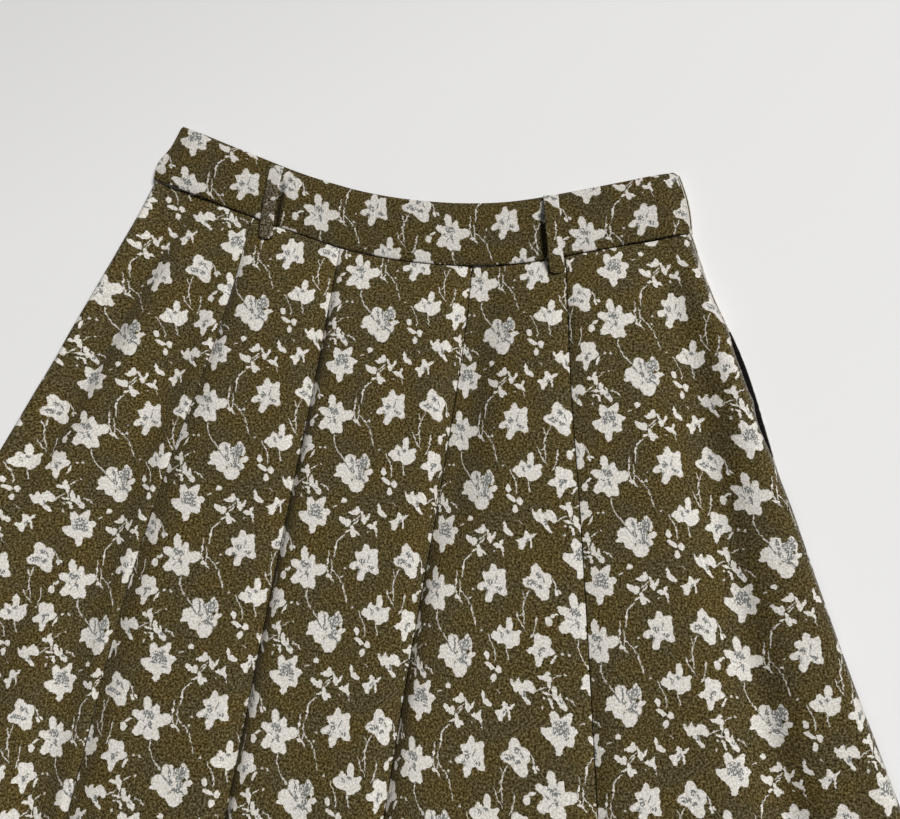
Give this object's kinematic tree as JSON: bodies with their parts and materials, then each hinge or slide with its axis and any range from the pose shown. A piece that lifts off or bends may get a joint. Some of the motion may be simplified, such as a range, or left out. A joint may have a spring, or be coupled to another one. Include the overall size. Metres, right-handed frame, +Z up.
{
  "type": "a-line skirt",
  "caption": "Gored A-line skirt with a waistband, belt loops and a closed side zip, lying flat with its front up.",
  "frame": {"origin": "middle of the skirt's box, on the surface that it lies on", "axes": "+X across the skirt to the wearer's left, +Y towards the waist, +Z up out of the front"},
  "size_m": [0.814, 0.7187, 0.0135],
  "materials": {
    "jacquard": "matte olive jacquard with woven off-white flowers",
    "zip_tape": "matte dark woven tape"
  },
  "bodies": {
    "root": {"front_outer_left": "jacquard", "front_side_left": "jacquard", "front_centre": "jacquard", "front_side_right": "jacquard", "front_outer_right": "jacquard", "back_outer_left": "jacquard", "back_side_left": "jacquard", "back_centre": "jacquard", "back_side_right": "jacquard", "back_outer_right": "jacquard", "waistband_front": "jacquard", "waistband_back": "jacquard", "belt_loop_left": "jacquard", "belt_loop_right": "jacquard", "side_zip_tape": "zip_tape"}
  },
  "joints": []
}
